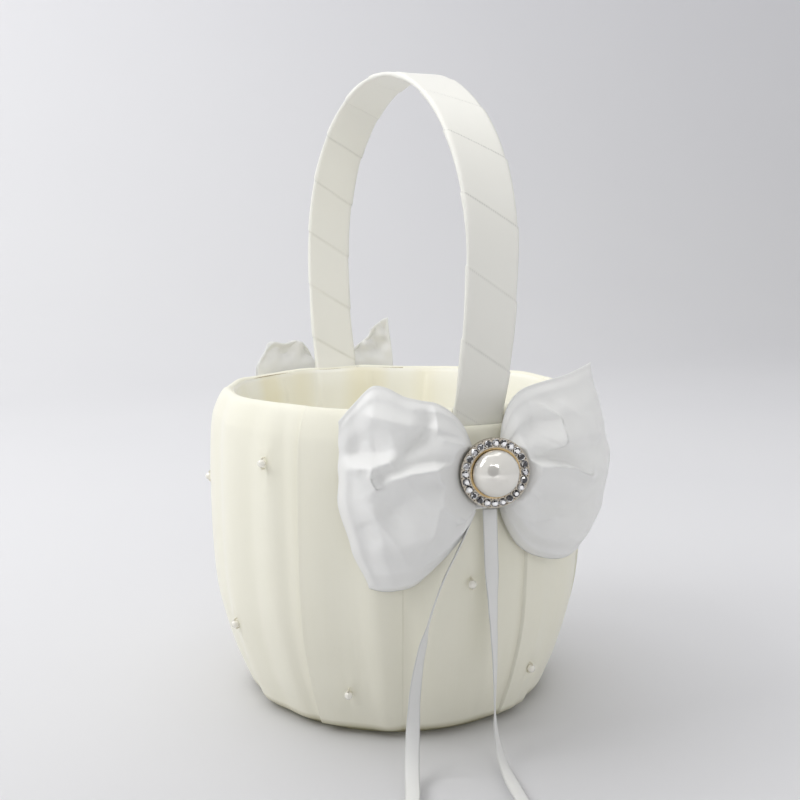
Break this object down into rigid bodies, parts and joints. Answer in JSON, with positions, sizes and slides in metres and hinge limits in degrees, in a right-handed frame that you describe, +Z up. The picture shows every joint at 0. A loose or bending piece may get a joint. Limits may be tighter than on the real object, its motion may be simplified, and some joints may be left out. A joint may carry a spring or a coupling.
{
  "type": "flower girl basket",
  "caption": "Satin-covered round basket with a fixed arched handle, a satin bow front and back, a pearl brooch and two ribbon tails.",
  "frame": {"origin": "centre of the flat underside, on the surface the basket stands on", "axes": "+Z up along the body's axis; the brooch and its bow face -Y; the handle arches from -Y to +Y"},
  "size_m": [0.1522, 0.2216, 0.2482],
  "materials": {
    "card": "matte",
    "wadding": "soft",
    "ivory_satin": "satin",
    "lining_satin": "satin",
    "core_board": "matte",
    "handle_ribbon": "satin",
    "nickel": "bright",
    "white_satin": "satin",
    "narrow_ribbon": "satin",
    "rhinestone": "cut",
    "gilt": "polished",
    "pearl": "pearlescent",
    "seed_pearl": "pearlescent",
    "thread": "matte"
  },
  "bodies": {
    "root": {"pail_shell": "card", "base_board": "card", "side_wadding": "wadding", "satin_cover": "ivory_satin", "satin_lining": "lining_satin", "floor_card": "card", "floor_satin": "lining_satin", "foot_card": "card", "foot_satin": "ivory_satin", "handle_core": "core_board", "handle_wrap": "handle_ribbon", "handle_rivets": "nickel", "front_bow": "white_satin", "front_bow_band": "white_satin", "rear_bow": "white_satin", "rear_bow_band": "white_satin", "tie_knot": "narrow_ribbon", "left_tail": "narrow_ribbon", "right_tail": "narrow_ribbon", "brooch_shank": "nickel", "brooch_plate": "nickel", "brooch_setting": "nickel", "brooch_rhinestones": "rhinestone", "brooch_cup": "gilt", "brooch_pearl": "pearl", "side_pearls": "seed_pearl", "pearl_threads": "thread"}
  },
  "joints": []
}
